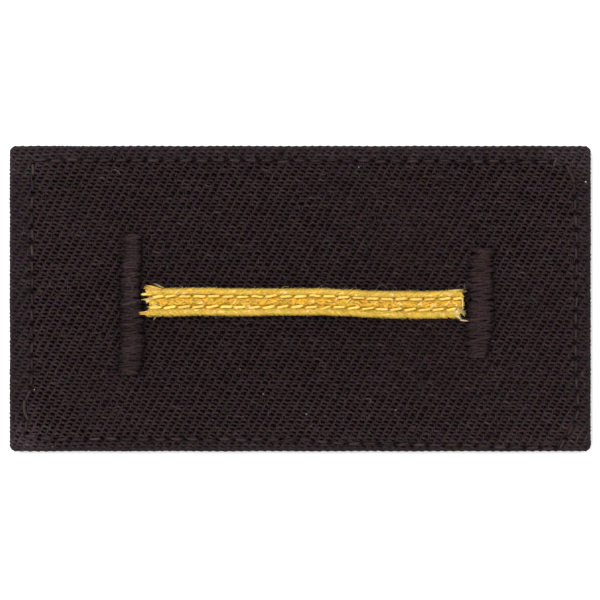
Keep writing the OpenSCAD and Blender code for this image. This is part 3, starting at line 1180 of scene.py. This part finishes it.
def rib_yarn(rng, side, x0):
    """A yarn wound slantwise over one side rib, or none where the frayed ends leave too little of it.
    Painted
    light and shade lie on it: the upper rib is dimmer and greener outside, and the lower one dimmer inside
    and brighter outside."""
    t = np.linspace(0, 1, 10)
    reach = (0.955 if side > 0 else 1.0) + rng.normal(0, 0.014) - RIB_INNER
    inner = 0.03 * rng.normal()
    u = side * (RIB_INNER + inner + (reach - inner) * t)
    x = x0 + WRAP_LEAN * (t - 0.5) + rng.normal(0, 0.05) + 0.08 * rng.normal() * t**2
    keep = in_braid(x, u, rng)
    if keep.sum() < 3:
        return
    on_braid = np.clip(u, -0.99, 0.99)
    path = braid_point(x, on_braid, rng.normal(-0.02, 0.014))
    path[:, 1] += (u - on_braid) * 2.2
    path[:, 2] -= 0.3 * ramp(t, 0.86, 1) + 0.12 * ease((0.12 - t) / 0.12)
    place = t[:, None]
    # Painted shade and painted light across the rib
    if side > 0:
        dim = ramp(place, 0.55, 1) * (0.32, 0.24, 0.27)
    else:
        dim = fade(place - 0.24, 0.17) * (0.30, 0.30, 0.45) - fade(place - 0.74, 0.17) * (0.17, 0.22, 0.20)
    tint = np.clip(own_tint(rng, 0.08, 0.03) * (1 - dim), 0.3, 1.5)
    yield path[keep], 0.16 * rng.normal(1, 0.1), 0.075, tint[keep]


def band_yarn(rng, x0):
    """A short soft yarn of the middle band, at any slant over the others, or none as above."""
    turn = rng.choice([-1, 1]) * rng.uniform(0.25, 1.0)
    reach = rng.uniform(0.35, 0.65)
    t = np.linspace(-1, 1, 9)
    x = x0 + rng.normal(0, 0.1) + reach * math.cos(turn) * t
    u = rng.normal(-0.05, 0.09) + reach * math.sin(turn) / braid_course(x0)[1] * t
    u = BAND_REACH * np.tanh(u / BAND_REACH)
    keep = in_braid(x, u, rng)
    if keep.sum() < 3:
        return
    path = braid_point(x, u, rng.normal(-0.05, 0.02))
    path[:, 2] -= 0.12 * t**4
    tint = np.clip(own_tint(rng, 0.06, 0.03) * BAND_HUE, 0.3, 1.5)
    yield path[keep], rng.uniform(0.16, 0.27), 0.09, tint


def braid_yarns():
    """The yarns of both ribs and of the band."""
    for side, seed in ((1, 41), (-1, 42)):
        rng = np.random.default_rng(seed)
        for x0 in np.arange(BRAID_START, BRAID_FINISH, WRAP_PITCH):
            yield from rib_yarn(rng, side, x0)
    rng = np.random.default_rng(43)
    for x0 in np.arange(BRAID_START, BRAID_FINISH, BAND_PITCH):
        yield from band_yarn(rng, x0)


def braid_stitching():
    """Two rows of stitches that hold the braid, each stitch a little steeper than its row. The last of
    each row is shorter, and the first of the upper row lies higher. Pale threads cross the band."""
    rng = np.random.default_rng(51)
    t = np.linspace(0, 1, 13)
    lift = in_and_out(t, 0.14)
    for side, starts in STITCH_ROWS:
        for x0 in starts:
            last = 0.78 if x0 == starts[-1] else 1.0
            x = x0 + STITCH_LENGTH * last * rng.normal(1, 0.03) * t
            slope = rng.uniform(0.0, 0.12) if side > 0 else rng.uniform(0.05, 0.19)
            waver = 0.015 * rng.normal() * np.sin(6 * t)
            u = side * ROW_AT + slope * (t - 0.5) + rng.normal(0, 0.022) + waver
            if side > 0 and x0 == starts[0]:
                u = u + 0.17
            middle, half = braid_course(x)
            path = np.column_stack([x, middle + u * half, SEAT_Z + ROW_TOP - 0.12 + 0.42 * lift])
            radius = STITCH_THREAD * rng.normal(1, 0.06) * (0.7 + 0.3 * lift)
            # Painted shade: each stitch is darker where it dips into its holes
            tint = own_tint(rng, 0.07, 0.02) * (0.88 + 0.12 * lift[:, None])
            yield path, radius, radius * 0.9, tint
            behind = stitch_path(path[0, :2], path[-1, :2], BACK_Z - 0.05, BACK_Z + 0.3, 7)
            yield behind, 0.15, 0.10, tint[:7] * 0.85
    for x, y, reach_x, reach_y in CROSS_STITCHES:
        places = np.array([(x, y)]) + np.array([[0.0], [0.5], [1.0]]) * (reach_x, reach_y)
        yield hop(places, SEAT_Z + 0.98, 0.32, 9), 0.12, 0.09, CROSS_HUE


# Loose fibres

# Frayed yarns at the braid's ends.
# Columns: x, y and spread of their roots, the same and the height of their tips, how many, their shade,
# lowered in some as painted shadow where the braid's ends lie in shade, how pale
TUFTS = [
    (-22.9, 1.30, 0.30, -25.45, 1.70, 0.42, 2.95, 40, 0.82, 0.10),
    (-23.9, 0.00, 0.20, -25.80, -0.12, 0.10, 2.95, 10, 0.95, 0.25),
    (-23.4, -2.25, 0.30, -26.25, -2.35, 0.13, 2.95, 34, 0.92, 0.12),
    (-23.5, -1.15, 0.50, -24.75, -1.25, 0.45, 2.75, 16, 1.00, 0.40),
    (24.4, 0.90, 0.35, 26.50, 1.10, 0.25, 3.00, 26, 0.78, 0.15),
    (24.2, -2.20, 0.40, 25.60, -2.30, 0.35, 2.95, 26, 0.95, 0.20),
    (25.9, -2.00, 0.20, 26.90, -2.70, 0.20, 2.60, 8, 1.00, 0.30),
]
# The same for the pale fibres, without the last column
PALE_TUFTS = [
    (25.4, -2.65, 0.15, 26.30, -3.35, 0.12, 2.90, 12, 0.75),
    (26.1, -3.50, 0.05, 27.70, -3.64, 0.04, 2.75, 5, 0.90),
    (26.40, 0.05, 0.08, 26.45, -1.75, 0.08, 3.20, 5, 0.62),
    (26.0, 1.25, 0.25, 27.30, 1.30, 0.30, 2.90, 8, 0.22),
    (26.1, -1.80, 0.10, 26.80, -2.50, 0.20, 3.10, 5, 0.40),
    (-24.6, -0.30, 0.15, -25.10, -0.55, 0.15, 3.15, 6, 0.8),
    (-22.3, 1.75, 0.05, -24.00, 2.45, 0.12, 2.60, 8, 0.35),
    (-23.6, -3.05, 0.10, -23.90, -3.35, 0.30, 2.40, 8, 0.30),
]
# Clumps of pale fluff. Columns: x, y, height and radius, how many fibres, their shade
CLUMPS = [
    (25.50, -2.30, 3.35, 0.28, 20, 1.10),
    (25.75, -2.75, 3.10, 0.22, 9, 0.75),
    (26.45, -2.15, 3.10, 0.25, 8, 0.40),
    (-24.85, -0.45, 3.20, 0.16, 7, 0.85),
]
# White specks of lint on the cloth. Columns: x, y, shade
SPECKS = [
    (46.47, 18.98, 1.00),
    (9.52, 21.37, 0.40),
    (-43.26, -14.82, 0.60),
    (0.96, -18.80, 0.45),
    (-9.79, -11.52, 0.45),
    (15.57, -18.14, 0.45),
    (-6.03, -15.53, 0.45),
    (-40.40, -24.10, 0.35),
]
# Single hairs, each with the x and y of three places that it goes by, and its shade
HAIRS = [
    ((-28.3, 2.0), (-27.2, 3.4), (-28.0, 3.3), 0.16),
    ((-28.1, 3.3), (-27.6, 2.2), (-26.7, 2.5), 0.14),
    ((-27.5, 1.0), (-27.0, 2.4), (-27.7, 2.3), 0.16),
    ((-27.2, -0.9), (-26.3, 0.4), (-26.0, -0.6), 0.15),
    ((-28.5, 0.4), (-27.6, 1.0), (-27.3, 0.1), 0.11),
    ((-28.6, 5.6), (-27.8, 6.0), (-27.0, 5.7), 0.10),
    ((-28.0, 7.2), (-27.3, 7.8), (-26.6, 7.5), 0.12),
    ((-30.3, 21.0), (-29.6, 20.9), (-29.3, 20.2), 0.35),
    ((-15.5, 18.6), (-15.0, 18.1), (-14.5, 18.4), 0.30),
    ((10.8, -16.3), (11.9, -16.2), (11.3, -17.1), 0.30),
    ((12.4, 1.5), (13.4, 3.1), (14.4, 1.3), 0.22),
    ((25.4, 1.6), (26.3, 3.0), (26.9, 1.5), 0.25),
    ((26.8, 1.2), (26.9, 1.9), (26.7, 2.4), 0.35),
    ((20.6, -4.1), (21.0, -4.5), (21.3, -4.3), 0.30),
]
# How many fine fibres lie along the band and the ribs, curls on them, fibres past the edges and on the cloth
BAND_FIBRES = 150
RIB_FIBRES = 420
CURLS = 40
EDGE_FIBRES = 200
CLOTH_FIBRES = 950
# Colour factors: what paleness adds to a frayed yarn, and those of the fine fibres
PALENESS = np.array([0.1, 0.6, 6.0])
RIB_STREAKS = np.array([(0.98, 0.78, 0.36), (0.74, 0.50, 0.11), (0.78, 0.64, 0.19)])
BAND_STREAK = np.array([0.75, 0.50, 0.13])
FLUFF = np.array([1.30, 1.00, 0.55])
EDGE_FUZZ = np.array([0.75, 0.70, 0.35])
SPECK = np.array([0.8, 0.88, 1.2])
HAIR = np.array([0.6, 0.612, 0.81])
CLOTH_FIBRE = np.array([1.0, 0.95, 1.5])


def tuft_fibre(rng, tuft, least_reach, root_spread):
    """Path of one fibre of a tuft, from its root to near its tip. It reaches at least this share of the
    way, and its root lies this far out of place."""
    root_x, root_y, spread, tip_x, tip_y, tip_spread, tip_z = tuft
    reach = rng.uniform(least_reach, 1.0)
    share = rng.normal(0, 0.6)
    start = np.array([root_x + root_spread * rng.normal(), root_y + spread * share, SEAT_Z + 1.15])
    y = tip_y + tip_spread * (share + rng.normal(0, 0.3))
    x = root_x + (tip_x - root_x) * reach + rng.normal(0, 0.08)
    finish = np.array([x, y, tip_z + rng.normal(0, 0.05)])
    half_way = (start + finish) / 2 + (rng.normal(0, 0.1), rng.normal(0, 0.14), 0.25)
    return bend(start, half_way, finish, 9)


def tapered(radius):
    """Radius at each ring of a tuft's fibre."""
    return radius * (1 - 0.6 * np.linspace(0, 1, 9) ** 3)


def frayed_ends():
    rng = np.random.default_rng(61)
    for *tuft, count, tone, pale in TUFTS:
        for _ in range(count):
            path = tuft_fibre(rng, tuft, 0.72, 0.3)
            tint = tone * own_tint(rng, 0.14, 0.06) * (1 + pale * PALENESS)
            yield path, tapered(rng.uniform(0.04, 0.10)), 0.05, tint


def pale_ends(rng):
    """Pale fibres in tufts and clumps at the braid's ends."""
    for *tuft, count, tone in PALE_TUFTS:
        for _ in range(count):
            path = tuft_fibre(rng, tuft, 0.6, 0.1)
            tint = tone * np.exp(rng.normal(0, 0.15)) * np.array([1.12, 1.0, 0.4 + 0.45 * tone])
            yield path, tapered(rng.uniform(0.03, 0.06)), 0.04, tint
    for x, y, z, radius, count, tone in CLUMPS:
        for _ in range(count):
            places = rng.normal(0, radius, (3, 3)) * (1, 1, 0.2) + (x, y, z)
            tint = tone * np.exp(rng.normal(0, 0.15)) * np.array([1.0, 1.0, 0.4 + 0.5 * tone])
            yield bend(*places, 6), 0.04, 0.035, tint


def spaced(rng, start, finish, gap):
    """Three places along the braid, from this far after its start to this far before its finish."""
    middle = rng.uniform(BRAID_START + start, BRAID_FINISH - finish)
    return middle + np.array([-gap, 0, gap]) * rng.uniform(0.6, 1.6)


def surface_path(x, u, above, rise, steps):
    """A path by three places on the braid, its middle raised."""
    start, middle, finish = braid_point(x, u, above)
    return bend(start, middle + (0, 0, rise), finish, steps)


def streaks(rng):
    """Fine fibres along the band and the ribs, and curled fluff on them."""
    for _ in range(BAND_FIBRES):
        x = spaced(rng, 2, 2, 0.3)
        path = surface_path(x, rng.uniform(-0.2, 0.2) + rng.normal(0, 0.08, 3), 0.05, 0.08, 7)
        yield path, 0.05, 0.022, rng.choice([0.35, 1.0]) * np.exp(rng.normal(0, 0.2)) * BAND_STREAK
    for _ in range(RIB_FIBRES):
        x = spaced(rng, 1, 1.5, 0.5)
        u = rng.choice([-1, 1]) * rng.uniform(0.56, 0.90) + rng.normal(0, 0.06, 3)
        tint = np.exp(rng.normal(0, 0.12)) * RIB_STREAKS[rng.integers(len(RIB_STREAKS))]
        yield surface_path(x, np.clip(u, -0.95, 0.95), 0.02, 0.1, 7), 0.04, 0.022, tint
    for _ in range(CURLS):
        x = rng.uniform(BRAID_START + 2, BRAID_FINISH - 2)
        u = rng.choice([-0.7, -0.3, 0.0, 0.3, 0.7]) + rng.normal(0, 0.06)
        for _ in range(7):
            path = surface_path(x + rng.normal(0, 0.22, 3), u + rng.normal(0, 0.07, 3), 0.05, 0.12, 6)
            yield path, 0.05, 0.022, rng.uniform(0.8, 1.1) * FLUFF


def edge_fuzz(rng):
    """Short fibres that stand out past both long edges of the braid."""
    for _ in range(EDGE_FIBRES):
        x = rng.uniform(BRAID_START + 0.5, BRAID_FINISH - 1.0)
        side = rng.choice([-1, 1])
        middle, half = braid_course(x)
        out = rng.exponential(0.10) + 0.02
        along = rng.normal(0, 0.5)
        start = (x, middle + side * half * 0.93, SEAT_Z + 0.6)
        half_way = (x + along * 0.2, middle + side * (half + out * 1.2), SEAT_Z + 0.5)
        finish = (x + along, middle + side * (half + out), SEAT_Z + rng.uniform(0.05, 0.3))
        yield bend(start, half_way, finish, 6), 0.022, 0.022, rng.uniform(0.3, 0.8) * EDGE_FUZZ


def braid_fuzz():
    rng = np.random.default_rng(62)
    yield from pale_ends(rng)
    yield from streaks(rng)
    yield from edge_fuzz(rng)


def lint():
    """Specks, hairs and the cloth's own loose fibres. The hairs by the left bar lie on it."""
    rng = np.random.default_rng(63)
    for *place, tone in SPECKS:
        for _ in range(5):
            places = place + rng.normal(0, 0.07, (3, 2))
            yield hop(places, FACE_Z + rng.uniform(0.02, 0.08), 0.12, 6), 0.026, 0.026, tone * SPECK
    bar_side = LEFT_BAR.middle[0] + BAR_WIDTH / 2
    for *places, tone in HAIRS:
        on_bar = bar_side - 1.5 * BAR_WIDTH < places[0][0] < bar_side
        path = hop(places, SEAT_Z + BAR_CROWN if on_bar else FACE_Z + 0.05, 0.3, 12)
        yield path, 0.03, 0.03, tone * HAIR
    for _ in range(CLOTH_FIBRES):
        place = rng.uniform(-HALF_X + 1, HALF_X - 1), rng.uniform(-HALF_Y + 1, HALF_Y - 1)
        places = place + np.vstack([(0, 0), rng.normal(0, 0.45, (2, 2))])
        yield hop(places, FACE_Z - 0.02, 0.05, 5), 0.028, 0.028, rng.uniform(0.02, 0.085) * CLOTH_FIBRE


# The pieces made of strands, each with how many sides its strands have and the columns of its map

stitching = strands_piece("edge_stitching", edge_stitches(), 6, SEAM_MATERIAL, 10)
left_threads = strands_piece("left_bar_threads", bar_threads(LEFT_BAR, 31), 8, BAR_MATERIAL, 8)
left_core = bar_core("left_bar_threads_core", LEFT_BAR)
right_threads = strands_piece("right_bar_threads", bar_threads(RIGHT_BAR, 32), 8, BAR_MATERIAL, 8)
right_core = bar_core("right_bar_threads_core", RIGHT_BAR)
core = braid_core()
yarns = strands_piece("braid_yarns", braid_yarns(), 6, BRAID_MATERIAL, 24)
braid_pieces = [
    core,
    yarns,
    strands_piece("braid_stitching", braid_stitching(), 8, BRAID_STITCHES, 8),
    strands_piece("braid_frayed_ends", frayed_ends(), 5, BRAID_MATERIAL, 12),
    strands_piece("braid_fuzz", braid_fuzz(), 4, LOOSE_FIBRES, 26),
]
loose = strands_piece("lint", lint(), 4, LOOSE_FIBRES, 40)
pieces = [*twill_pieces, stitching, left_threads, left_core, right_threads, right_core, *braid_pieces, loose]


# The root body that each piece rides on, and the CAD parts hidden

for piece in pieces:
    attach(piece, "root")
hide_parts("ground_cloth")
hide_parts("braid_stripe")
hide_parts("left_bar")
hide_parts("right_bar")


# Floor, light and camera

# The stretch of the patch's plane that fills the picture, from straight above
FRAME_WIDTH = 97.82
FRAME_MIDDLE = (-0.035, -0.236)
FRAME_DEPTH = 0.5
CAMERA_LENS = 200
CAMERA_SENSOR = 36
FLOOR_HALF = 1500
FLOOR_Z = -0.05
LIGHT_PLACE = (-350, 330, 760)
LIGHT_SIZE = 400
LIGHT_POWER = 6.0
SKY_STRENGTH = 1.4


def floor():
    points = np.array([(-1, -1, 0), (1, -1, 0), (1, 1, 0), (-1, 1, 0)]) * FLOOR_HALF + (0, 0, FLOOR_Z)
    material, tree, shader = node_tree("pale_floor")
    place = add_node(tree, "ShaderNodeTexCoord", {})["Object"]
    grain = map_range(tree, noise(tree, place, 0.02, 2)["Fac"], 0.3, 0.7, 0, 1)
    shown = mix_colour(tree, "MIX", grain, (0.9, 0.9, 0.9), (0.88, 0.88, 0.88))
    feed(shader, {"Base Color": shown, "Roughness": 0.9, "Specular IOR Level": 0.1})
    new_mesh("floor", points, [np.array([[0, 1, 2, 3]])], material)


def light():
    """One large soft lamp, turned to the patch's middle."""
    source = bpy.data.lights.new("key", "AREA")
    source.shape = "SQUARE"
    source.size = LIGHT_SIZE * MM
    source.energy = LIGHT_POWER
    lamp = placed("key", source)
    lamp.location = Vector(LIGHT_PLACE) * MM
    lamp.rotation_euler = (-lamp.location).to_track_quat("-Z", "Y").to_euler()


def sky():
    world = bpy.data.worlds.new("studio")
    world.use_nodes = True
    feed(world.node_tree.nodes["Background"], {"Color": (1, 1, 1), "Strength": SKY_STRENGTH})
    bpy.context.scene.world = world


def camera():
    view = bpy.data.cameras.new("camera")
    view.lens = CAMERA_LENS
    view.sensor_width = CAMERA_SENSOR
    view.clip_start = 0.01
    view.clip_end = 10
    shot = placed("camera", view)
    height = FACE_Z - FRAME_DEPTH + FRAME_WIDTH * CAMERA_LENS / CAMERA_SENSOR
    shot.location = Vector((*FRAME_MIDDLE, height)) * MM
    bpy.context.scene.camera = shot


floor()
light()
sky()
camera()
bpy.context.scene.view_settings.view_transform = "Standard"
